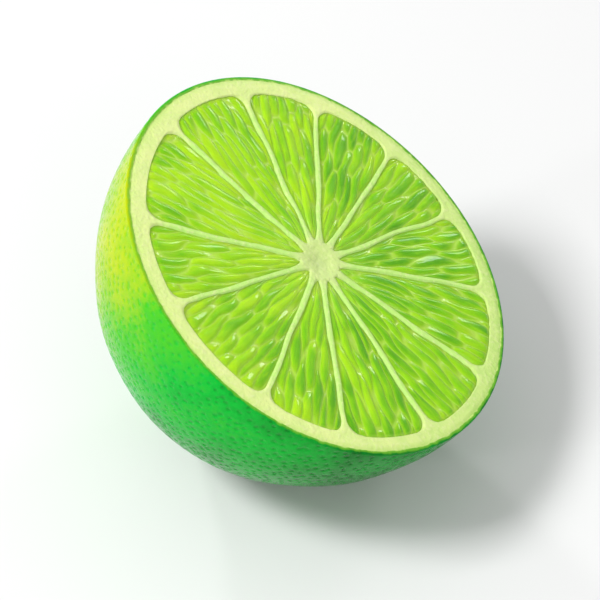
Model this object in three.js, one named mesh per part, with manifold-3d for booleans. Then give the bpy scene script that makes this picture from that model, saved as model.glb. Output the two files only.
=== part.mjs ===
// Half a seedless lime: the blossom end of the fruit, cut straight across the middle.
// It lies on its rind with the cut face up, leaned over until its nipple touches down too.
// Millimetres, +Z up. The origin is the middle of the small flat spot that it rests on.

import * as THREE from 'three';
import { mergeVertices } from 'three/addons/utils/BufferGeometryUtils.js';
import Module from 'manifold-3d';

const { degToRad, lerp, smoothstep } = THREE.MathUtils;

// The fruit
const RIM_RADIUS = 27; // of the cut face, where the fruit is widest
const BODY_DEPTH = 30; // from the cut face to the blossom end, without its nipple
const RIM_SOFTNESS = 0.4; // the knife leaves a slightly rounded edge
const OVALITY = 0.006; // how far the outline departs from a true circle
const TRILOBE = 0.004;

// The nipple at the blossom end, with the furrow round it and the scar at its tip
const NIPPLE_HEIGHT = 3.8;
const NIPPLE_SPREAD = 4.2; // radius at which the nipple has fallen to a third of its height
const NIPPLE_STEEPNESS = 2.4;
const FURROW_DEPTH = 0.35;
const FURROW_RADIUS = 7.4;
const FURROW_WIDTH = 1.9;
const SCAR_DEPTH = 0.4;
const SCAR_RADIUS = 1;

// The cut face, by radius from the middle
const PEEL_THICKNESS = 2.4; // green rind and white pith together
const CORE_RADIUS = 2.8;
const CORE_HOLLOW = 0.5; // the spongy core dips in its middle
const SEPTUM_HALF_WIDTH = 0.3;
const PULP_SLOPE = 0.5; // the pulp falls away from the walls round it over this width
const PULP_RECESS = 0.7; // depth of the pulp at the foot of that slope
const PULP_DOME = 0.55; // and how far it swells up again between two septa
const LARGEST_FOOT_SHARE = 0.3; // a septum's foot never takes more of a segment than this

// The twelve walls between the segments, in degrees round the fruit's axis. The segments are
// uneven, as they grew.
const SEPTUM_ANGLES = [28, 54, 80, 107, 133, 166, 204, 232, 268, 295, 325, 357];

// How it lies
const LEAN = degToRad(32); // of the fruit's axis from upright, towards +X
const REST_DEPTH = 0.4; // the rind is pressed flat this far where it touches down

// Fineness
const RIND_RINGS = 22;
const RINGS_CROWD = 1.3; // above 1 the rings lie closer together round the nipple
const PULP_RINGS = 8;
const SPOKES_PER_SEGMENT = 10;
const SPOKES = SEPTUM_ANGLES.length * SPOKES_PER_SEGMENT;

const PULP_RADIUS = RIM_RADIUS - PEEL_THICKNESS;
const PULP_FOOT_RADIUS = PULP_RADIUS - PULP_SLOPE;
const CORE_FOOT_RADIUS = CORE_RADIUS + PULP_SLOPE;
const SEPTUM_FOOT = SEPTUM_HALF_WIDTH + PULP_SLOPE;

// How far the blossom end stands out of a plain round one, at a distance from the axis.
function blossomEnd(radius) {
  const nipple = NIPPLE_HEIGHT * Math.exp(-((radius / NIPPLE_SPREAD) ** NIPPLE_STEEPNESS));
  const furrow = FURROW_DEPTH * Math.exp(-(((radius - FURROW_RADIUS) / FURROW_WIDTH) ** 2));
  const scar = SCAR_DEPTH * Math.exp(-((radius / SCAR_RADIUS) ** 2));
  return nipple - furrow - scar;
}

// The outline of the half fruit from its nipple out to the rim: x is the distance from the
// axis and y the height along it, with the cut at y = 0.
function rindOutline() {
  const points = [];
  for (let k = 0; k < RIND_RINGS; k++) {
    const fromPole = (Math.PI / 2) * (k / RIND_RINGS) ** RINGS_CROWD;
    const radius = RIM_RADIUS * Math.sin(fromPole);
    points.push(new THREE.Vector2(radius, -BODY_DEPTH * Math.cos(fromPole) - blossomEnd(radius)));
  }
  points.push(new THREE.Vector2(RIM_RADIUS, -RIM_SOFTNESS));
  return points;
}

// The outline goes on over the cut face, from the rim to the middle.
function cutOutline() {
  const radii = [RIM_RADIUS - RIM_SOFTNESS, PULP_RADIUS];
  for (let k = 0; k <= PULP_RINGS; k++) {
    radii.push(lerp(PULP_FOOT_RADIUS, CORE_FOOT_RADIUS, k / PULP_RINGS));
  }
  radii.push(CORE_RADIUS, CORE_RADIUS / 2, 0);
  return radii.map((radius) => new THREE.Vector2(radius, 0));
}

// Which septum a spoke belongs to, and how far round it stands from there towards the next:
// 0 and 1 are the feet of the two septa, and the spoke along the septum itself has none.
function placeOf(spoke) {
  const segment = Math.floor(spoke / SPOKES_PER_SEGMENT);
  const step = spoke % SPOKES_PER_SEGMENT;
  return { segment, step, across: (step - 1) / (SPOKES_PER_SEGMENT - 2) };
}

// The angle of one spoke. On the rind the spokes of a segment are evenly spread. On the cut
// face they share the pulp between the feet of its two septa, so the septa stay evenly thick.
function spokeAngle(spoke, radius, onCutFace) {
  const { segment, step, across } = placeOf(spoke);
  const start = degToRad(SEPTUM_ANGLES[segment]);
  const end = degToRad(SEPTUM_ANGLES[segment + 1] ?? SEPTUM_ANGLES[0] + 360);
  if (!onCutFace || step === 0) return lerp(start, end, step / SPOKES_PER_SEGMENT);
  const widest = LARGEST_FOOT_SHARE * (end - start);
  const foot = Math.min(SEPTUM_FOOT / Math.max(radius, CORE_FOOT_RADIUS), widest);
  return lerp(start + foot, end - foot, across);
}

// The height of the cut face against the knife's plane: rind, pith, septa and the core's rim
// are level with it, and each pulp segment is a low cushion set in between them.
function cutFaceHeight(spoke, radius) {
  if (radius < CORE_RADIUS) return -CORE_HOLLOW * (1 - radius / CORE_RADIUS);
  const { step, across } = placeOf(spoke);
  const onPulp = step > 0 && radius >= CORE_FOOT_RADIUS && radius <= PULP_FOOT_RADIUS;
  if (!onPulp) return 0;
  const along = (radius - CORE_FOOT_RADIUS) / (PULP_FOOT_RADIUS - CORE_FOOT_RADIUS);
  const swell = Math.sqrt(Math.sin(Math.PI * across) * Math.sin(Math.PI * along));
  return PULP_DOME * swell - PULP_RECESS;
}

// The outline's slight departure from a circle, which fades out towards the nipple.
function lobes(angle, radius) {
  const wave = OVALITY * Math.cos(2 * angle + 0.6) + TRILOBE * Math.cos(3 * angle - 1.1);
  return 1 + wave * smoothstep(radius, 0, RIM_RADIUS);
}

// The whole half fruit about its own axis: the outline is turned round the axis, and each
// point is then moved to its spoke's angle and its height on the cut face.
function fruitGeometry() {
  const rind = rindOutline();
  const points = [...rind, ...cutOutline()];
  const geometry = new THREE.LatheGeometry(points, SPOKES);
  const position = geometry.getAttribute('position');
  for (let index = 0; index < position.count; index++) {
    const spoke = Math.floor(index / points.length) % SPOKES;
    const ring = index % points.length;
    const radius = points[ring].x;
    const onCutFace = ring >= rind.length;
    const angle = spokeAngle(spoke, radius, onCutFace);
    const reach = radius * lobes(angle, radius);
    const height = onCutFace ? cutFaceHeight(spoke, radius) : points[ring].y;
    position.setXYZ(index, reach * Math.cos(angle), reach * Math.sin(angle), height);
  }
  return geometry;
}

// Where the middle of the cut face stands, for a body that leans and touches down at the origin.
function faceCentre() {
  const across = RIM_RADIUS * Math.sin(LEAN);
  const along = BODY_DEPTH * Math.cos(LEAN);
  const standing = Math.hypot(across, along);
  const aside = (BODY_DEPTH ** 2 - RIM_RADIUS ** 2) * Math.sin(LEAN) * Math.cos(LEAN) / standing;
  return new THREE.Vector3(aside, 0, standing - REST_DEPTH);
}

const wasm = await Module();
wasm.setup();

function solidFrom(geometry) {
  const bare = geometry.clone();
  bare.deleteAttribute('normal');
  bare.deleteAttribute('uv');
  const merged = mergeVertices(bare, 1e-4);
  return new wasm.Manifold(new wasm.Mesh({
    numProp: 3,
    vertProperties: merged.getAttribute('position').array,
    triVerts: new Uint32Array(merged.index.array),
  }));
}

function geometryFrom(solid) {
  const { vertProperties, triVerts } = solid.getMesh();
  const geometry = new THREE.BufferGeometry();
  geometry.setAttribute('position', new THREE.BufferAttribute(vertProperties, 3));
  geometry.setIndex(new THREE.BufferAttribute(triVerts, 1));
  geometry.computeVertexNormals();
  return geometry;
}

// The half fruit as it lies: leaned over, set down, and flat where it presses on the surface.
function restingLime() {
  const { x, y, z } = faceCentre();
  const fruit = fruitGeometry().rotateY(LEAN).translate(x, y, z);
  const breadth = 4 * RIM_RADIUS;
  const surface = new THREE.BoxGeometry(breadth, breadth, breadth).translate(0, 0, -breadth / 2);
  return geometryFrom(solidFrom(fruit).subtract(solidFrom(surface)));
}

const limeGreen = new THREE.MeshStandardMaterial({
  color: new THREE.Color(0.42, 0.68, 0.13),
  roughness: 0.4,
  metalness: 0,
});

const limeHalf = new THREE.Mesh(restingLime(), limeGreen);
limeHalf.name = 'lime_half';

const lime = new THREE.Group();
lime.add(limeHalf);

export default lime;
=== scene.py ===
"""Half a lime, cut across its middle and lying on its rind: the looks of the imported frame.

Lengths are in metres and the axes are the frame's own. The half lime is modelled upright, with
its axis along +Z and the cut at height 0, and is then leaned over to where the solid lies.
"""

import logging
import math
import random
from collections.abc import Iterable
from dataclasses import dataclass, field
from enum import Enum

import bmesh
import bpy
from mathutils import Matrix, Vector, kdtree, noise


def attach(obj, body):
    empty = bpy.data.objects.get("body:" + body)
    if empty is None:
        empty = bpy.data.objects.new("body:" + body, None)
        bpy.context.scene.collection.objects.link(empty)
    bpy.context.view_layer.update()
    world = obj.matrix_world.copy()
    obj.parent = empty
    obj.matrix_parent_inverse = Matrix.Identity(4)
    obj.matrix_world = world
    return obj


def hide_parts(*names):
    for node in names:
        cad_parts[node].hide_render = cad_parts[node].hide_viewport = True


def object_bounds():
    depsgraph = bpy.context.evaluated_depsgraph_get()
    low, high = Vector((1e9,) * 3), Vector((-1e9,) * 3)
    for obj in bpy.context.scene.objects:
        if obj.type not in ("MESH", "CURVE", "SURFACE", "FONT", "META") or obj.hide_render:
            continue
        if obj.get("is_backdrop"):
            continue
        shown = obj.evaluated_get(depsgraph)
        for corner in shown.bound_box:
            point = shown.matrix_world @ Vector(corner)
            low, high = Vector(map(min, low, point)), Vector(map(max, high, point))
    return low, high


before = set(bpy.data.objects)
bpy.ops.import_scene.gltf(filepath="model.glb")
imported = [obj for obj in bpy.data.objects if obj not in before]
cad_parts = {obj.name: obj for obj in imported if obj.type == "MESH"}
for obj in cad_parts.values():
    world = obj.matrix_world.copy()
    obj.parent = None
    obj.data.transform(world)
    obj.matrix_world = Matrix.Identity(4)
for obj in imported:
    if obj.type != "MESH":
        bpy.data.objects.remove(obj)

log = logging.getLogger("lime")

MM = 0.001
TINY = 1e-7
NODE = "lime_half"

Colour = tuple[float, float, float]
Triple = tuple[float, float, float]
Span = tuple[float, float]
Socket = bpy.types.NodeSocket

PALE_PITH: Colour = (0.66, 0.86, 0.24)  # where pith and green skin meet


class Slot(Enum):
    """The record's material slots."""

    RIND = "rind"
    PITH = "pith"
    PULP = "pulp"


class Zone(Enum):
    """The parts of the rind's surface."""

    OUTSIDE = "the rind outside"
    CUT = "the green line that the knife left"
    POCKET = "the hollow that holds pith and pulp"


def smooth(low: float, high: float, value: float) -> float:
    """Rises smoothly from 0 at low to 1 at high.

    Args:
        low: Where the rise begins.
        high: Where it ends.
        value: Where it is asked for.

    Returns:
        A number from 0 to 1.
    """
    share = min(max((value - low) / (high - low), 0.0), 1.0)
    return share * share * (3 - 2 * share)


def blend(start: float, end: float, share: float) -> float:
    """Returns the value that lies a share of the way from start to end."""
    return start + (end - start) * share


def round_off(share: float) -> float:
    """Returns a quarter circle's height: 0 at share 0, rising steeply, and 1 from share 1 on."""
    rest = 1 - min(max(share, 0.0), 1.0)
    return math.sqrt(1 - rest * rest)


# The lime's form


@dataclass(frozen=True)
class LimeForm:
    """The half lime's own form, which every piece follows, and how it lies."""

    rim_radius: float = 27 * MM
    depth: float = 30 * MM
    ovality: float = 0.006
    oval_turn: float = 0.6
    trilobe: float = 0.004
    trilobe_turn: float = -1.1
    nipple_height: float = 3.8 * MM
    nipple_spread: float = 4.2 * MM
    nipple_steepness: float = 2.4
    furrow_depth: float = 0.35 * MM
    furrow_radius: float = 7.4 * MM
    furrow_width: float = 1.9 * MM
    scar_depth: float = 0.4 * MM
    scar_radius: float = 1 * MM
    peel_thickness: float = 2.4 * MM
    skin_thickness: float = 0.7 * MM
    pith_change: float = 0.25 * MM
    core_radius: float = 2.8 * MM
    lean: float = math.radians(32)
    rest_depth: float = 0.4 * MM
    knife_relief: float = 0.05 * MM
    knife_grain: float = 0.9 * MM
    # the yellower flank, which faces the key lamp once the half lies down and carries painted light
    ripe_and_lit_angle: float = math.radians(200)

    @property
    def pulp_radius(self) -> float:
        """The distance from the middle of the cut to where the pith begins."""
        return self.rim_radius - self.peel_thickness

    @property
    def pith_radius(self) -> float:
        """The distance from the middle of the cut to where the green skin begins."""
        return self.rim_radius - self.skin_thickness

    def blossom_end(self, radius: float) -> float:
        """Says how far the blossom end stands out of a plain round one.

        Args:
            radius: The distance from the fruit's axis.

        Returns:
            The height of nipple, furrow and scar together.
        """
        nipple = math.exp(-((radius / self.nipple_spread) ** self.nipple_steepness))
        furrow = math.exp(-(((radius - self.furrow_radius) / self.furrow_width) ** 2))
        scar = math.exp(-((radius / self.scar_radius) ** 2))
        return self.nipple_height * nipple - self.furrow_depth * furrow - self.scar_depth * scar

    def on_rind(self, from_pole: float, angle: float = 0.0) -> Vector:
        """Finds a place on the plain rind.

        Args:
            from_pole: The angle from the nipple, a quarter turn at the rim.
            angle: The angle round the fruit's axis.

        Returns:
            The place.
        """
        radius = self.rim_radius * math.sin(from_pole)
        height = -self.depth * math.cos(from_pole) - self.blossom_end(radius)
        return Vector((radius * math.cos(angle), radius * math.sin(angle), height))

    def outwards(self, place: Vector) -> Vector:
        """Returns the direction straight out of the plain rind, without its nipple, at a place."""
        wide, deep = self.rim_radius**2, self.depth**2
        return Vector((place.x / wide, place.y / wide, place.z / deep)).normalized()

    def lobes(self, angle: float, radius: float) -> float:
        """Says how far the outline departs from a circle.

        Args:
            angle: The angle round the fruit's axis.
            radius: The distance from the axis.

        Returns:
            The factor by which the outline is wider than a circle there.
        """
        oval = self.ovality * math.cos(2 * angle + self.oval_turn)
        lobe = self.trilobe * math.cos(3 * angle + self.trilobe_turn)
        return 1 + (oval + lobe) * smooth(0, self.rim_radius, radius)

    def on_cut(self, angle: float, radius: float, height: float) -> Vector:
        """Finds a place on the cut, where the pith is thicker on the yellower flank.

        Args:
            angle: The angle round the fruit's axis.
            radius: The distance from the axis, if the pith were even all round.
            height: The height over the knife's plane.

        Returns:
            The place.
        """
        pulp = self.pulp_radius
        near = smooth(pulp / 2, pulp, radius) * (1 - smooth(pulp, self.pith_radius, radius))
        moved = radius - self.pith_change * near * (2 * self.yellower(angle) - 1)
        reach = moved * self.lobes(angle, radius)
        return Vector((reach * math.cos(angle), reach * math.sin(angle), height))

    def knife_marks(self, angle: float, radius: float) -> float:
        """Gives the fine relief that the knife leaves on the cut.

        Args:
            angle: The angle round the fruit's axis.
            radius: The distance from the middle of the cut.

        Returns:
            The height over the knife's plane.
        """
        place = Vector((radius * math.cos(angle), radius * math.sin(angle), 0))
        roughness, step, layers = 1.0, 2.0, 2
        return self.knife_relief * noise.fractal(place / self.knife_grain, roughness, step, layers)

    def yellower(self, angle: float) -> float:
        """Returns how near an angle is to the yellower flank, which faces the key lamp and on which
        rind, pith and pulp are painted lighter: 1 on it and 0 on the far side.
        """
        return 0.5 + 0.5 * math.cos(angle - self.ripe_and_lit_angle)

    def lying(self) -> Matrix:
        """Returns the matrix that leans the upright half over and sets it down."""
        across = self.rim_radius * math.sin(self.lean)
        along = self.depth * math.cos(self.lean)
        standing = math.hypot(across, along)
        longer = self.depth**2 - self.rim_radius**2
        aside = longer * math.sin(self.lean) * math.cos(self.lean) / standing
        place = Matrix.Translation((aside, 0, standing - self.rest_depth))
        return place @ Matrix.Rotation(self.lean, 4, "Y")


@dataclass(frozen=True)
class Septa:
    """The twelve walls between the segments, and the outline of the pulp between two of them."""

    form: LimeForm
    degrees: tuple[float, ...] = (28, 54, 80, 107, 133, 166, 204, 232, 268, 295, 325, 357)
    half_width: float = 0.23 * MM
    width_change: float = 0.45
    waviness: float = 0.4 * MM
    wave_length: float = 7 * MM
    row_gap: float = 7.31
    corner: float = 2.2 * MM
    tip_length: float = 2.4 * MM
    tip_inset: float = 0.5 * MM
    narrow_gap: float = 0.9 * MM
    narrow: Span = (math.radians(20), math.radians(40))

    @property
    def count(self) -> int:
        """The number of septa, and of segments."""
        return len(self.degrees)

    def wave(self, row: float, radius: float) -> float:
        """Returns smooth noise between -1 and 1 at a radius, with a row for each thing that waves."""
        return noise.noise(Vector((row * self.row_gap, radius / self.wave_length, 0.5)))

    def angle(self, number: int, radius: float) -> float:
        """Follows one wavy septum outwards.

        Args:
            number: Which septum; one past the last is the first again, a full turn on.
            radius: The distance from the middle of the cut.

        Returns:
            The septum's angle there, in radians.
        """
        turns, index = divmod(number, self.count)
        straight = math.radians(self.degrees[index]) + turns * math.tau
        core = self.form.core_radius
        grown = smooth(core, core + self.wave_length, radius)
        return straight + self.waviness * self.wave(index, radius) * grown / max(radius, core)

    def middle(self, segment: int, radius: float) -> float:
        """Returns the angle of a segment's middle line at a radius."""
        return (self.angle(segment, radius) + self.angle(segment + 1, radius)) / 2

    def tip(self, segment: int) -> float:
        """Finds where a segment's pulp begins, which is further out in a narrow one.

        Args:
            segment: Which segment.

        Returns:
            The radius of its inner tip.
        """
        core = self.form.core_radius
        width = self.angle(segment + 1, core) - self.angle(segment, core)
        return core - self.tip_inset + self.narrow_gap * (1 - smooth(*self.narrow, width))

    def half_angle(self, segment: int, radius: float) -> float:
        """Gives the width of a segment's pulp, with its rounded tip and outer corners.

        Args:
            segment: Which segment.
            radius: The distance from the middle of the cut.

        Returns:
            Half the angle that the pulp fills at that radius, or 0 where there is none.
        """
        tip, outside = self.tip(segment), self.form.pulp_radius
        if not tip < radius <= outside:
            return 0.0
        between = self.angle(segment + 1, radius) - self.angle(segment, radius)
        wall = self.half_width * (1 + self.width_change * self.wave(segment + 0.5, 2 * radius))
        cut_off = self.corner * (1 - round_off((outside - radius) / self.corner))
        open_angle = between / 2 - (wall + cut_off) / radius
        return max(open_angle, 0.0) * round_off((radius - tip) / self.tip_length)


@dataclass
class OilGlands:
    """The rind's oil glands: small pits, spread evenly but not in rows."""

    form: LimeForm
    pitch: float = 1.2 * MM
    scatter: float = 0.34
    reach: Span = (0.34 * MM, 0.52 * MM)
    seed: int = 2600
    tree: kdtree.KDTree = field(init=False)
    reaches: list[float] = field(init=False)

    def __post_init__(self) -> None:
        """Lays the glands in a spiral from the nipple to the rim, each a little off its place."""
        draw = random.Random(self.seed)
        count = round(math.tau * self.form.rim_radius * self.form.depth / self.pitch**2)
        golden_angle = math.pi * (3 - math.sqrt(5))
        off = self.scatter * self.pitch / self.form.depth
        self.tree = kdtree.KDTree(count)
        for index in range(count):
            from_pole = abs(math.acos(1 - (index + 0.5) / count) + draw.uniform(-off, off))
            angle = index * golden_angle + draw.uniform(-off, off) / max(math.sin(from_pole), off)
            self.tree.insert(self.form.on_rind(from_pole, angle), index)
        self.tree.balance()
        self.reaches = [draw.uniform(*self.reach) for _ in range(count)]

    def away(self, place: Vector) -> float:
        """Returns the way to the nearest gland: 0 at its middle, 1 at its edge and more outside."""
        _, index, distance = self.tree.find(place)
        return distance / self.reaches[index]


# Finishes


class Shader:
    """A node material under way: a Principled shader and the nodes that feed it."""

    def __init__(self, name: str, **inputs: float | Triple) -> None:
        """Starts a material.

        Args:
            name: The material's name.
            **inputs: Values for the shader's own sockets, with _ for each space in their names.
        """
        self.material = bpy.data.materials.new(name)
        self.material.use_nodes = True
        self.nodes = self.material.node_tree.nodes
        self.links = self.material.node_tree.links
        self.principled = self.nodes["Principled BSDF"]
        for key, value in inputs.items():
            self.feed(self.principled.inputs[key.replace("_", " ")], value)

    def feed(self, socket: Socket, source: Socket | float | Triple) -> None:
        """Feeds a socket.

        Args:
            socket: The socket.
            source: Another node's output to link to it, or a plain value to set it to.
        """
        if isinstance(source, Socket):
            self.links.new(source, socket)
        elif socket.type == "RGBA":
            socket.default_value = (*source, 1)
        else:
            socket.default_value = source

    def drive(self, name: str, source: Socket) -> None:
        """Links a source to one of the Principled shader's sockets."""
        self.links.new(source, self.principled.inputs[name])

    def attribute(self, name: str) -> Socket:
        """Reads a value that the mesh holds at its points.

        Args:
            name: The value's name.

        Returns:
            The value.
        """
        node = self.nodes.new("ShaderNodeAttribute")
        node.attribute_name = name
        return node.outputs["Fac"]

    def grain(self, size: float, detail: float = 2) -> Socket:
        """Returns soft noise.

        Args:
            size: The size of its largest patches, in metres.
            detail: How many finer layers it has.

        Returns:
            A value around one half.
        """
        node = self.nodes.new("ShaderNodeTexNoise")
        node.inputs["Scale"].default_value = 1 / size
        node.inputs["Detail"].default_value = detail
        place = self.nodes.new("ShaderNodeTexCoord").outputs["Object"]
        self.links.new(place, node.inputs["Vector"])
        return node.outputs["Fac"]

    def drift(self, size: float, amount: float, detail: float = 2, middle: float = 0.5) -> Socket:
        """Returns soft noise that drifts round zero.

        Args:
            size: The size of its largest patches, in metres.
            amount: How far it drifts to either side.
            detail: How many finer layers it has.
            middle: The share of the noise's range over which it drifts; the rest is flat.

        Returns:
            A value from minus to plus the amount.
        """
        span = ((1 - middle) / 2, (1 + middle) / 2)
        return self.fit(self.grain(size, detail), span, (-amount, amount))

    def fibres(self, across: str, along: str, fineness: Span) -> Socket:
        """Returns noise that is drawn out along the surface.

        Args:
            across: The point value that runs across the fibres.
            along: The point value that runs along them.
            fineness: How many patches there are to one unit, across and along.

        Returns:
            A value around one half.
        """
        place = self.nodes.new("ShaderNodeCombineXYZ")
        self.links.new(self.times(self.attribute(across), fineness[0]), place.inputs["X"])
        self.links.new(self.times(self.attribute(along), fineness[1]), place.inputs["Y"])
        node = self.nodes.new("ShaderNodeTexNoise")
        node.inputs["Scale"].default_value = 1
        node.inputs["Detail"].default_value = 3
        self.links.new(place.outputs["Vector"], node.inputs["Vector"])
        return node.outputs["Fac"]

    def add(self, first: Socket, second: Socket | float) -> Socket:
        """Returns the sum of two values."""
        return self.reckon("ADD", first, second)

    def times(self, first: Socket, second: Socket | float) -> Socket:
        """Returns the product of two values."""
        return self.reckon("MULTIPLY", first, second)

    def reckon(self, kind: str, first: Socket, second: Socket | float) -> Socket:
        """Does one step of arithmetic.

        Args:
            kind: Blender's name for it.
            first: The first value.
            second: The second value.

        Returns:
            The result.
        """
        node = self.nodes.new("ShaderNodeMath")
        node.operation = kind
        self.feed(node.inputs[0], first)
        self.feed(node.inputs[1], second)
        return node.outputs["Value"]

    def fit(self, source: Socket, span: Span, to: Span = (0, 1)) -> Socket:
        """Maps one span of values smoothly to another, and holds it at both ends.

        Args:
            source: The value.
            span: The values to map from.
            to: The values to map to.

        Returns:
            The mapped value.
        """
        node = self.nodes.new("ShaderNodeMapRange")
        node.interpolation_type = "SMOOTHSTEP"
        self.links.new(source, node.inputs["Value"])
        for name, value in zip(("From Min", "From Max", "To Min", "To Max"), (*span, *to)):
            node.inputs[name].default_value = value
        return node.outputs["Result"]

    def ramp(self, source: Socket, stops: Iterable[tuple[float, Colour]]) -> Socket:
        """Turns a value into a colour.

        Args:
            source: The value, from 0 to 1.
            stops: The colours that it runs through, each with its place from 0 to 1.

        Returns:
            The colour.
        """
        node = self.nodes.new("ShaderNodeValToRGB")
        elements = node.color_ramp.elements
        for number, (place, colour) in enumerate(stops):
            stop = elements[number] if number < len(elements) else elements.new(place)
            stop.position = place
            stop.color = (*colour, 1)
        self.links.new(source, node.inputs["Fac"])
        return node.outputs["Color"]

    def mix(self, share: Socket, under: Socket, over: Socket | Colour) -> Socket:
        """Lays one colour over another.

        Args:
            share: How much of the upper colour shows, from 0 to 1.
            under: The lower colour.
            over: The upper colour.

        Returns:
            The mixed colour.
        """
        node = self.nodes.new("ShaderNodeMix")
        node.data_type = "RGBA"
        self.feed(node.inputs[0], share)
        self.feed(node.inputs[6], under)
        self.feed(node.inputs[7], over)
        return node.outputs[2]

    def bump(self, height: Socket, depth: float) -> None:
        """Gives the surface fine relief.

        Args:
            height: The relief, from 0 to 1.
            depth: Its depth in metres.
        """
        node = self.nodes.new("ShaderNodeBump")
        node.inputs["Distance"].default_value = depth
        self.links.new(height, node.inputs["Height"])
        self.drive("Normal", node.outputs["Normal"])


@dataclass(frozen=True)
class RindFinish:
    """Waxy rind outside and, where the knife went through, green skin that fades into pith."""

    deep_green: Colour = (0.003, 0.15, 0.012)
    leaf_green: Colour = (0.003, 0.43, 0.032)
    fresh_green: Colour = (0.06, 0.47, 0.012)
    ripe_yellow: Colour = (0.42, 0.54, 0.003)
    cut_skin: Colour = (0.2, 0.54, 0.03)
    pale_pith: Colour = PALE_PITH
    scar_brown: Colour = (0.2, 0.14, 0.04)
    mottle_size: float = 7 * MM
    mottle: float = 0.09
    speckle_size: float = 0.8 * MM
    speckle: float = 0.04
    pit_green: float = -0.11
    wander_size: float = 1.1 * MM
    wander: float = 0.14
    wax_size: float = 0.35 * MM
    wax_roughness: Span = (0.11, 0.2)
    cut_roughness: float = 0.2
    relief: float = 0.05 * MM
    pit_relief: float = -1.2

    def skin(self, shader: Shader, pit: Socket) -> Socket:
        """Returns the rind's colour outside.

        Args:
            shader: The material.
            pit: How deep in an oil gland a point is, from 0 to 1.

        Returns:
            The colour.
        """
        mottle = shader.drift(self.mottle_size, self.mottle, detail=3)
        speckle = shader.drift(self.speckle_size, self.speckle)
        # this value holds the rind's own yellow patch and also painted light and shade by flank
        ripe_and_lit = shader.add(shader.attribute("ripeness_and_light"), shader.add(mottle, speckle))
        ripe_and_lit = shader.add(ripe_and_lit, shader.times(pit, self.pit_green))
        greens = ((0.0, self.deep_green), (0.34, self.leaf_green), (0.62, self.fresh_green))
        skin = shader.ramp(ripe_and_lit, (*greens, (1.0, self.ripe_yellow)))
        return shader.mix(shader.attribute("scar"), skin, self.scar_brown)

    def flesh(self, shader: Shader, skin: Socket, depth: Socket) -> Socket:
        """Lays the colours of the cut over the skin's own: paler green, then pith.

        Args:
            shader: The material.
            skin: The skin's colour.
            depth: How far a point of the cut lies in from the rim, from 0 to 1 at the pith.

        Returns:
            The colour.
        """
        wander = shader.drift(self.wander_size, self.wander, middle=0.4)
        edge = shader.add(depth, shader.times(wander, shader.fit(depth, (0, 0.1))))
        green = shader.mix(shader.fit(edge, (0.1, 0.5), (0, 0.75)), skin, self.cut_skin)
        return shader.mix(shader.fit(edge, (0.55, 0.95)), green, self.pale_pith)

    def dress(self) -> bpy.types.Material:
        """Builds the material; it reads the rind's own point values."""
        shader = Shader("lime rind", Specular_IOR_Level=0.07)
        pit = shader.fit(shader.attribute("gland"), (1.0, 0.25))
        depth = shader.attribute("under_skin")
        shader.drive("Base Color", self.flesh(shader, self.skin(shader, pit), depth))
        wax = shader.grain(self.wax_size, 3)
        rough = shader.fit(wax, (0.3, 0.7), self.wax_roughness)
        rougher = shader.fit(depth, (0, 0.1), (0, self.cut_roughness))
        shader.drive("Roughness", shader.add(rough, rougher))
        shader.bump(shader.add(wax, shader.times(pit, self.pit_relief)), self.relief)
        return shader.material


@dataclass(frozen=True)
class PithFinish:
    """Pale, spongy pith, moist septa and the core that they meet at."""

    wall: Colour = (0.58, 0.92, 0.22)
    pith: Colour = (0.82, 0.95, 0.34)
    green_pith: Colour = (0.46, 0.78, 0.15)
    pale_pith: Colour = PALE_PITH
    cream: Colour = (0.88, 0.95, 0.46)
    core: Colour = (0.66, 0.84, 0.28)
    core_heart: Colour = (0.6, 0.76, 0.27)
    fibre_size: float = 0.5 * MM
    fibre_relief: float = 0.14 * MM
    cream_share: float = 0.45
    patch_size: float = 2.2 * MM
    patch_green: float = 0.2
    far_shade_green: float = 0.45
    roughness: Span = (0.4, 0.6)

    def dress(self) -> bpy.types.Material:
        """Builds the material; it reads how far out a point lies, and how near the flank."""
        shader = Shader(
            "lime pith and septa",
            Coat_Weight=0.1,
            Coat_Roughness=0.2,
            Specular_IOR_Level=0.15,
            Subsurface_Weight=0.1,
            Subsurface_Radius=(1.0, 1.2, 0.45),
            Subsurface_Scale=0.4 * MM,
        )
        outwards = shader.attribute("outwards")
        stops = (
            (0.0, self.core_heart),
            (0.025, self.core_heart),
            (0.06, self.core),
            (0.1, self.core),
            (0.18, self.wall),
            (0.77, self.wall),
            (0.89, self.pith),
            (0.95, self.pith),
            (0.98, self.pale_pith),
        )
        colour = shader.ramp(outwards, stops)
        patch = shader.fit(shader.grain(self.patch_size), (0.35, 0.65), (0, self.patch_green))
        # painted shade: the pith ring turns greener on the far flank, away from the key lamp
        far = shader.fit(shader.attribute("yellower"), (0.5, 0), (0, self.far_shade_green))
        ring = shader.fit(outwards, (0.8, 0.9))
        colour = shader.mix(shader.times(shader.add(patch, far), ring), colour, self.green_pith)
        fibres = shader.grain(self.fibre_size, 4)
        pale = shader.fit(fibres, (0.45, 0.75), (0, self.cream_share))
        shader.drive("Base Color", shader.mix(pale, colour, self.cream))
        shader.drive("Roughness", shader.fit(fibres, (0.3, 0.7), self.roughness))
        shader.bump(fibres, self.fibre_relief)
        return shader.material


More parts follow.
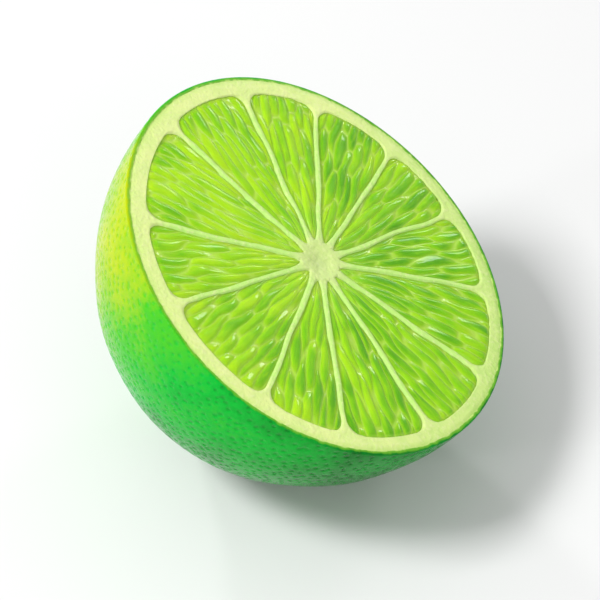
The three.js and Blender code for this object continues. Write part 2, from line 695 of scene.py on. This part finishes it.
@dataclass(frozen=True)
class PulpFinish:
    """Wet, translucent juice sacs with paler walls."""

    deep_juice: Colour = (0.11, 0.43, 0.002)
    juice: Colour = (0.22, 0.61, 0.003)
    bright_juice: Colour = (0.43, 0.82, 0.008)
    sac_wall: Colour = (0.52, 0.9, 0.09)
    patch_size: float = 6 * MM
    patch: float = 0.33
    streak_fineness: Span = (1.4, 0.3)
    streak_share: float = 0.4
    painted_edge_glow_share: float = 0.5
    core_reach: Span = (10, 3)
    core_share: float = 0.25
    rim_share: float = 0.42
    wall_share: float = 0.8
    roughness: Span = (0.25, 0.4)
    grain_size: float = 0.3 * MM
    grain_relief: float = 0.03 * MM

    def dress(self) -> bpy.types.Material:
        """Builds the material; it reads each sac's tint, which also holds painted light that
        brightens the sacs on the flank facing the key lamp, and the walls between the sacs.
        """
        shader = Shader(
            "lime pulp",
            Coat_Weight=0.45,
            Coat_Roughness=0.06,
            Specular_IOR_Level=0.1,
            Subsurface_Weight=0.6,
            Subsurface_Radius=(1.0, 1.4, 0.35),
            Subsurface_Scale=1.4 * MM,
        )
        patch = shader.drift(self.patch_size, self.patch, middle=0.4)
        stops = ((0.0, self.deep_juice), (0.45, self.juice), (1.0, self.bright_juice))
        body = shader.ramp(shader.add(shader.attribute("tint"), patch), stops)
        streak = shader.fibres("across", "outwards", self.streak_fineness)
        light = shader.fit(streak, (0.48, 0.72), (0, self.streak_share))
        body = shader.mix(light, body, self.bright_juice)
        inside = shader.attribute("inside")
        # painted light: each sac is lighter towards its walls and darker in its middle, a painted
        # stand-in for light through the translucent juice
        painted_edge_glow = shader.fit(inside, (0.5, 0.05), (0, self.painted_edge_glow_share))
        body = shader.mix(painted_edge_glow, body, self.bright_juice)
        near_core = shader.fit(shader.attribute("outwards"), self.core_reach, (0, self.core_share))
        body = shader.mix(near_core, body, self.sac_wall)
        rim = shader.fit(shader.attribute("edge"), (0.8, 0), (0, self.rim_share))
        body = shader.mix(rim, body, self.sac_wall)
        wall = shader.fit(inside, (0.18, 0), (0, self.wall_share))
        shader.drive("Base Color", shader.mix(wall, body, self.sac_wall))
        shader.drive("Roughness", shader.fit(streak, (0.3, 0.7), self.roughness))
        shader.bump(shader.grain(self.grain_size), self.grain_relief)
        return shader.material


@dataclass(frozen=True)
class FloorFinish:
    """A plain pale surface."""

    colour: Colour = (0.78, 0.78, 0.78)

    def dress(self) -> bpy.types.Material:
        """Builds the material."""
        return Shader("pale floor", Base_Color=self.colour, Roughness=0.7).material


# Pieces


def finished(name: str, shape: bmesh.types.BMesh, look: bpy.types.Material) -> None:
    """Makes an object of a finished shape and fastens it to the frame.

    Args:
        name: The piece's name.
        shape: Its mesh, where it lies. It is used up.
        look: Its material.
    """
    mesh = bpy.data.meshes.new(name)
    shape.to_mesh(mesh)
    shape.free()
    mesh.materials.append(look)
    mesh.shade_smooth()
    piece = bpy.data.objects.new(name, mesh)
    bpy.context.collection.objects.link(piece)
    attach(piece, "root")
    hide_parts(NODE)
    log.info("%s: %d faces", name, len(mesh.polygons))


def turned(profile: list[Vector], spokes: int) -> bmesh.types.BMesh:
    """Turns a profile that starts and ends on the axis into a closed solid.

    Args:
        profile: Its points, with x the distance from the axis.
        spokes: How many steps the full turn has.

    Returns:
        The solid.
    """
    shape = bmesh.new()
    points = [shape.verts.new(place) for place in profile]
    edges = [shape.edges.new(pair) for pair in zip(points, points[1:])]
    bmesh.ops.spin(
        shape,
        geom=points + edges,
        axis=(0, 0, 1),
        cent=(0, 0, 0),
        angle=math.tau,
        steps=spokes,
        use_merge=True,
    )
    bmesh.ops.remove_doubles(shape, verts=shape.verts, dist=TINY)
    bmesh.ops.recalc_face_normals(shape, faces=shape.faces)
    return shape


@dataclass
class Rind:
    """The green skin with its nipple and oil glands, as a bowl that holds pith and pulp."""

    form: LimeForm
    glands: OilGlands
    spokes: int = 600
    rings: int = 146
    edge_softness: float = 0.22 * MM
    edge_steps: int = 4
    cut_rings: int = 6
    tuck_width: float = 0.2 * MM
    tuck_depth: float = 0.15 * MM
    pocket_depth: float = 2.5 * MM
    pit_depth: float = 0.07 * MM
    pit_roundness: float = 1.5
    even_rim: float = 1 * MM
    swell: float = 0.16 * MM
    swell_size: float = 9 * MM
    ripe_spread: float = math.radians(60)
    lit_side_span: Span = (0.3, 0.8)
    plain_yellowing_and_shade: Span = (0.1, 0.34)
    end_share: float = 0.4
    full_depth: float = 0.15
    scar_edge: Span = (0.5, 1.1)

    def profile(self) -> list[Vector]:
        """Returns the outline from the nipple round the rim and down inside to the axis."""
        form = self.form
        quarter = math.pi / 2
        points = [form.on_rind(quarter * ring / self.rings) for ring in range(self.rings)]
        for step in range(self.edge_steps + 1):
            turn = quarter * step / self.edge_steps
            out = form.rim_radius - self.edge_softness * (1 - math.cos(turn))
            points.append(Vector((out, 0, self.edge_softness * (math.sin(turn) - 1))))
        outside = form.rim_radius - self.edge_softness
        inside = form.pith_radius + self.tuck_width
        for ring in range(1, self.cut_rings + 1):
            points.append(Vector((blend(outside, inside, ring / self.cut_rings), 0, 0)))
        points.append(Vector((form.pith_radius, 0, -self.tuck_depth)))
        points.append(Vector((form.pith_radius, 0, -self.pocket_depth)))
        points.append(Vector((0, 0, -self.pocket_depth)))
        return points

    def zone(self, place: Vector) -> Zone:
        """Says which part of the rind a point lies on.

        Args:
            place: The point, before anything moves it.

        Returns:
            The zone.
        """
        if math.hypot(place.x, place.y) <= self.form.pith_radius + TINY:
            return Zone.POCKET if place.z >= -self.pocket_depth - TINY else Zone.OUTSIDE
        return Zone.CUT if place.z > -self.edge_softness / 2 else Zone.OUTSIDE

    def ripeness_and_light(self, place: Vector) -> float:
        """Says how yellow the rind is: yellowest on one flank and deep green on the far, lower one;
        this is partly the rind's own colour, from the flank that lay in the shade as it grew, and
        partly painted light and shade, lighter where the key lamp falls and darker on the side turned
        from it.

        Args:
            place: A point of the rind.

        Returns:
            A number from 0, deep green, to 1, yellow.
        """
        angle = math.atan2(place.y, place.x)
        away = abs((angle - self.form.ripe_and_lit_angle + math.pi) % math.tau - math.pi)
        down = -place.z / self.form.depth
        share = blend(1, self.end_share, smooth(self.full_depth, 1, down))
        # painted light and shade: paler green towards the flank that faces the key lamp, deep green
        # on the far, lower flank
        plain = blend(*self.plain_yellowing_and_shade, smooth(*self.lit_side_span, self.form.yellower(angle)))
        # the yellow patch round that flank is partly the rind's own colour and partly painted light
        # from the key lamp
        return blend(plain * share, 1, (1 - smooth(0, self.ripe_spread, away)) * share)

    def relief(self, place: Vector, away: float) -> float:
        """Gives the rind's soft swellings and the pits of its oil glands.

        Args:
            place: A point of the rind.
            away: How far it is from the nearest gland.

        Returns:
            How far the rind stands out there.
        """
        swell = self.swell * noise.noise(place / self.swell_size)
        pit = max(1 - away * away, 0.0) ** self.pit_roundness
        return (swell - self.pit_depth * pit) * smooth(0, self.even_rim, -place.z)

    def build(self, look: bpy.types.Material) -> None:
        """Builds the rind and lays it down.

        Args:
            look: Its material.
        """
        form = self.form
        shape = turned(self.profile(), self.spokes)
        glands = shape.verts.layers.float.new("gland")
        ripeness_and_light = shape.verts.layers.float.new("ripeness_and_light")
        scars = shape.verts.layers.float.new("scar")
        depths = shape.verts.layers.float.new("under_skin")
        lying = form.lying()
        for point in shape.verts:
            place = point.co.copy()
            radius = math.hypot(place.x, place.y)
            angle = math.atan2(place.y, place.x)
            zone = self.zone(place)
            point[ripeness_and_light] = self.ripeness_and_light(place)
            if zone is Zone.OUTSIDE:
                point[glands] = self.glands.away(place)
                point[scars] = 1 - smooth(*self.scar_edge, radius / form.scar_radius)
                place += form.outwards(place) * self.relief(place, point[glands])
            else:
                point[glands] = 1.0
                point[depths] = (form.rim_radius - radius) / form.skin_thickness
            if zone is Zone.CUT:
                calm = smooth(0, 2 * self.edge_softness, form.rim_radius - radius)
                place.z += form.knife_marks(angle, radius) * calm
            stretch = form.lobes(angle, radius)
            point.co = lying @ Vector((place.x * stretch, place.y * stretch, place.z))
            point.co.z = max(point.co.z, 0.0)
        finished("rind", shape, look)


@dataclass
class Pith:
    """Pith, septa and core, as one disc that is hollowed out under every pulp segment."""

    form: LimeForm
    septa: Septa
    rings: int = 110
    interior: int = 14
    flank: int = 2
    wall_width: float = 0.06 * MM
    ring_rings: int = 9
    recess: float = 0.8 * MM
    tip_slope: float = 0.8 * MM
    bank: float = 0.3 * MM
    widest_bank: float = 0.4
    narrowest: float = 0.12 * MM
    crest: float = 0.03 * MM
    slip: float = 3
    tuck: Span = (0.5 * MM, 0.3 * MM)
    thickness: float = 1.8 * MM
    core_dip: float = 0.35 * MM

    @property
    def steps(self) -> int:
        """The number of spokes for each segment: two flanks of a septum and the hollow."""
        return self.interior + 2 * (self.flank + 1)

    @property
    def outside(self) -> float:
        """The disc's radius, which reaches a little way under the green skin."""
        return self.form.pith_radius + self.tuck[1]

    def profile(self) -> list[Vector]:
        """Returns the disc's outline from the middle of its top to the middle of its underside."""
        pulp = self.form.pulp_radius
        points = [Vector((pulp * ring / self.rings, 0, 0)) for ring in range(self.rings + 1)]
        for ring in range(self.ring_rings + 1):
            radius = blend(pulp + self.wall_width, self.outside, ring / self.ring_rings)
            points.append(Vector((radius, 0, 0)))
        points.append(Vector((self.outside, 0, -self.thickness)))
        points.append(Vector((self.outside / 2, 0, -self.thickness)))
        points.append(Vector((0, 0, -self.thickness)))
        return points

    def spoke(self, number: int, radius: float) -> tuple[float, float]:
        """Places one spoke at one radius.

        Args:
            number: Which spoke, counted from the first septum.
            radius: The distance from the middle of the cut.

        Returns:
            Its angle, and how hollow the disc is there, from 0 on a septum to 1 under the pulp.
        """
        segment, step = divmod(number, self.steps)
        start = self.septa.angle(segment, radius)
        end = self.septa.angle(segment + 1, radius)
        pulp = self.septa.half_angle(segment, min(radius, self.form.pulp_radius))
        if pulp * radius < self.narrowest:
            return blend(start, end, step / self.steps), 0.0
        middle = (start + end) / 2
        side = -1 if step < self.steps / 2 else 1
        from_septum = min(step, self.steps - step)
        if from_septum <= self.flank:
            edge = start if side < 0 else end
            return blend(edge, middle + side * pulp, from_septum / self.flank), 0.0
        bank = min(self.bank / radius, self.widest_bank * pulp)
        across = (step - self.flank - 1) / self.interior
        tip = self.septa.tip(segment)
        under = smooth(tip, tip + self.tip_slope, radius)
        hollow = under if radius <= self.form.pulp_radius else 0.0
        return blend(middle - pulp + bank, middle + pulp - bank, across), hollow

    def top(self, angle: float, radius: float, hollow: float) -> float:
        """Gives the height of the disc's top, which slips under the green skin at its edge.

        Args:
            angle: The angle round the fruit's axis.
            radius: The distance from the middle of the cut.
            hollow: How hollow the disc is there.

        Returns:
            The height over the knife's plane.
        """
        form = self.form
        dip = self.core_dip * (1 - smooth(0, form.core_radius, radius))
        tucked = smooth(form.pith_radius - self.tuck[0], self.outside, radius)
        level = self.crest * (1 - self.slip * tucked) - dip - self.recess * hollow
        return level + form.knife_marks(angle, radius)

    def build(self, look: bpy.types.Material) -> None:
        """Builds pith, septa and core and lays them down.

        Args:
            look: Their material.
        """
        form = self.form
        spokes = self.septa.count * self.steps
        shape = turned(self.profile(), spokes)
        outwards = shape.verts.layers.float.new("outwards")
        yellower = shape.verts.layers.float.new("yellower")
        lying = form.lying()
        for point in shape.verts:
            radius = math.hypot(point.co.x, point.co.y)
            number = round(math.atan2(point.co.y, point.co.x) / math.tau * spokes) % spokes
            on_top = point.co.z > -self.thickness / 2
            angle, hollow = self.spoke(number, radius)
            height = self.top(angle, radius, hollow) if on_top else point.co.z
            point[outwards] = radius / form.rim_radius
            point[yellower] = form.yellower(angle)
            point.co = lying @ form.on_cut(angle, radius, height)
        finished("pith", shape, look)


@dataclass
class PulpSegment:
    """One segment's pulp: a cushion of juice sacs that run from the pith towards the core."""

    form: LimeForm
    septa: Septa
    number: int
    columns: int = 112
    rows: int = 130
    crowding: float = 0.6
    half_spread: float = math.radians(20)
    column_gap: float = 0.88
    sac_width: float = 1.75 * MM
    sac_length: float = 7.6 * MM
    convergence: float = 6 * MM
    scatter: Span = (0.2, 0.24)
    bend_size: float = 4 * MM
    bend: float = 0.36
    bend_row: Triple = (0, 0, 3.7)
    bend_along: Triple = (9.1, 4.7, 0)
    plump_at: float = 0.7
    sac_bulge: float = 0.26 * MM
    edge_bulge: float = 0.35
    sac_lift: float = 0.12 * MM
    edge_drop: float = 0.22 * MM
    edge_width: float = 0.8 * MM
    dome: float = 0.14 * MM
    foot: float = 0.65 * MM
    lit_flank_share: float = 0.5
    seed: int = 4100
    tree: kdtree.KDTree = field(init=False)
    tints: list[float] = field(init=False)

    def __post_init__(self) -> None:
        """Scatters the juice sacs over the segment, in rows that stand a little out of line."""
        draw = random.Random(self.seed + self.number)
        first = int(self.septa.tip(self.number) / self.sac_length) - 1
        last = math.ceil(self.form.pulp_radius / self.sac_length) + 1
        seeds = []
        for row in range(first, last):
            arc = (row * self.sac_length + self.convergence) * self.half_spread
            reach = math.ceil(arc / self.sac_width + 1)
            for column in range(-reach, reach + 1):
                across = self.column_gap * column + draw.uniform(-self.scatter[0], self.scatter[0])
                along = row + 0.5 * (column % 2) + draw.uniform(-self.scatter[1], self.scatter[1])
                seeds.append(Vector((across, along, 0)))
        self.tree = kdtree.KDTree(len(seeds))
        for index, seed in enumerate(seeds):
            self.tree.insert(seed, index)
        self.tree.balance()
        self.tints = [draw.random() for _ in seeds]

    def sac(self, aside: float, radius: float) -> tuple[float, float]:
        """Finds the juice sac at a place.

        Args:
            aside: The angle from the segment's middle line.
            radius: The distance from the middle of the cut.

        Returns:
            How far inside its sac the place is, from 0 at the wall to about 1, and its tint.
        """
        flat = Vector((aside * radius, radius, 0)) / self.bend_size
        bend = flat + self.number * Vector(self.bend_row)
        across = aside * (radius + self.convergence) / self.sac_width + self.bend * noise.noise(bend)
        along = radius / self.sac_length + self.bend * noise.noise(bend + Vector(self.bend_along))
        (_, first, near), (_, _, far) = self.tree.find_n(Vector((across, along, 0)), 2)
        return far - near, self.tints[first]

    def height(self, side: float, rise: float, inside: float, tint: float) -> float:
        """Gives the relief of the cushion and of the sacs on it.

        Args:
            side: The place across the segment, from -1 to 1.
            rise: How far a point is in from the segment's edge, from 0 to 1.
            inside: How far inside its sac it is.
            tint: The sac's tint; brighter sacs stand a little higher.

        Returns:
            The height over the knife's plane.
        """
        full = 1 - (1 - min(inside / self.plump_at, 1)) ** 2
        cushion = self.dome * (1 - side * side) - self.edge_drop * (1 - rise)
        bulge = self.sac_bulge * (full - 1) * blend(self.edge_bulge, 1, rise)
        return cushion + bulge + self.sac_lift * (tint - 0.5) * full

    def build(self, look: bpy.types.Material) -> None:
        """Builds the segment and lays it down.

        Args:
            look: Its material.
        """
        form, septa = self.form, self.septa
        shape = bmesh.new()
        bmesh.ops.create_grid(shape, x_segments=self.columns, y_segments=self.rows, size=1)
        tints = shape.verts.layers.float.new("tint")
        insides = shape.verts.layers.float.new("inside")
        across = shape.verts.layers.float.new("across")
        outwards = shape.verts.layers.float.new("outwards")
        edges = shape.verts.layers.float.new("edge")
        tip = septa.tip(self.number)
        for point in shape.verts:
            side, along = point.co.x, (point.co.y + 1) / 2
            side = blend(side, math.sin(side * math.pi / 2), self.crowding)
            radius = blend(tip, form.pulp_radius, along)
            half = septa.half_angle(self.number, radius)
            inside, tint = self.sac(side * half, radius)
            angle = septa.middle(self.number, radius) + side * half
            edge = min(half * (1 - abs(side)) * radius, form.pulp_radius - radius, radius - tip)
            rise = smooth(0, self.edge_width, edge)
            # painted light: sacs are tinted brighter towards the flank that faces the key lamp
            point[tints] = blend(tint, form.yellower(angle), self.lit_flank_share)
            point[insides] = inside
            point[across] = side * half * (radius + self.convergence) / MM
            point[outwards] = radius / MM
            point[edges] = rise
            point.co = form.on_cut(angle, radius, self.height(side, rise, inside, tint))
        bmesh.ops.remove_doubles(shape, verts=shape.verts, dist=TINY)
        self.close(shape)
        bmesh.ops.recalc_face_normals(shape, faces=shape.faces)
        bmesh.ops.transform(shape, matrix=form.lying(), verts=shape.verts)
        finished(f"pulp_segment_{self.number + 1:02d}", shape, look)

    def close(self, shape: bmesh.types.BMesh) -> None:
        """Gives the cushion its side walls and a flat underside, inside the pith.

        Args:
            shape: The cushion's top, upright.
        """
        border = [edge for edge in shape.edges if edge.is_boundary]
        made = bmesh.ops.extrude_edge_only(shape, edges=border)["geom"]
        for point in (item for item in made if isinstance(item, bmesh.types.BMVert)):
            point.co.z = -self.foot
        rim = [item for item in made if isinstance(item, bmesh.types.BMEdge)]
        bmesh.ops.contextual_create(shape, geom=rim)


# Studio


@dataclass(frozen=True)
class Lamp:
    """A square soft lamp that shines at the object."""

    name: str
    place: Triple
    size: float
    power: float

    def hang(self) -> None:
        """Hangs the lamp."""
        light = bpy.data.lights.new(self.name, "AREA")
        light.size = self.size
        light.energy = self.power
        lamp = bpy.data.objects.new(self.name, light)
        lamp.location = self.place
        lamp.rotation_euler = (-Vector(self.place)).to_track_quat("-Z", "Y").to_euler()
        bpy.context.collection.objects.link(lamp)


@dataclass(frozen=True)
class Studio:
    """A pale floor, soft lamps and the camera at the photograph's viewing angle."""

    azimuth: float = math.radians(14)
    elevation: float = math.radians(45)
    focal_length: float = 180.0
    sensor: float = 36.0
    filled: float = 0.72
    floor_reach: float = 1.5
    sky: Colour = (1.0, 1.0, 1.0)
    sky_strength: float = 0.5
    lamps: tuple[Lamp, ...] = (
        Lamp("key", (-0.38, -0.24, 0.58), 0.2, 4.1),
        Lamp("fill", (0.5, -0.5, 0.35), 0.5, 0.9),
        Lamp("sheen", (0.36, 0.74, 0.36), 0.18, 0.9),
        Lamp("back", (-0.5, 0.7, 0.26), 0.08, 2.0),
        Lamp("side", (-0.65, -0.6, 0.24), 0.08, 1.2),
    )

    def floor(self) -> None:
        """Lays the floor."""
        shape = bmesh.new()
        bmesh.ops.create_grid(shape, x_segments=2, y_segments=2, size=self.floor_reach)
        mesh = bpy.data.meshes.new("floor")
        shape.to_mesh(mesh)
        shape.free()
        mesh.materials.append(FloorFinish().dress())
        floor = bpy.data.objects.new("floor", mesh)
        bpy.context.collection.objects.link(floor)
        floor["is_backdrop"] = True

    def camera(self, low: Vector, high: Vector) -> None:
        """Places the camera so that the object fills most of the picture.

        Args:
            low: The object's lowest corner.
            high: Its highest corner.
        """
        level = Vector((math.sin(self.azimuth), -math.cos(self.azimuth), 0))
        back = level * math.cos(self.elevation) + Vector((0, 0, math.sin(self.elevation)))
        data = bpy.data.cameras.new("camera")
        data.lens = self.focal_length
        data.sensor_width = self.sensor
        camera = bpy.data.objects.new("camera", data)
        span = (high - low).y / self.filled
        camera.location = (low + high) / 2 + back * (span * self.focal_length / self.sensor)
        camera.rotation_euler = (-back).to_track_quat("-Z", "Y").to_euler()
        bpy.context.collection.objects.link(camera)
        bpy.context.scene.camera = camera

    def world(self) -> None:
        """Fills the room with soft light."""
        world = bpy.data.worlds.new("room")
        world.use_nodes = True
        background = world.node_tree.nodes["Background"]
        background.inputs["Color"].default_value = (*self.sky, 1)
        background.inputs["Strength"].default_value = self.sky_strength
        bpy.context.scene.world = world

    def build(self, low: Vector, high: Vector) -> None:
        """Builds the studio round the object.

        Args:
            low: The object's lowest corner.
            high: Its highest corner.
        """
        self.floor()
        self.world()
        self.camera(low, high)
        for lamp in self.lamps:
            lamp.hang()
        bpy.context.scene.view_settings.view_transform = "Standard"


def main() -> None:
    """Builds the half lime piece by piece, then the studio."""
    logging.basicConfig(level=logging.INFO, format="%(name)s: %(message)s")
    cad_low, cad_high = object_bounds()
    form = LimeForm()
    septa = Septa(form)
    Rind(form, OilGlands(form)).build(RindFinish().dress())
    Pith(form, septa).build(PithFinish().dress())
    pulp = PulpFinish().dress()
    for number in range(septa.count):
        PulpSegment(form, septa, number).build(pulp)
    Studio().build(cad_low, cad_high)


if __name__ == "__main__":
    main()
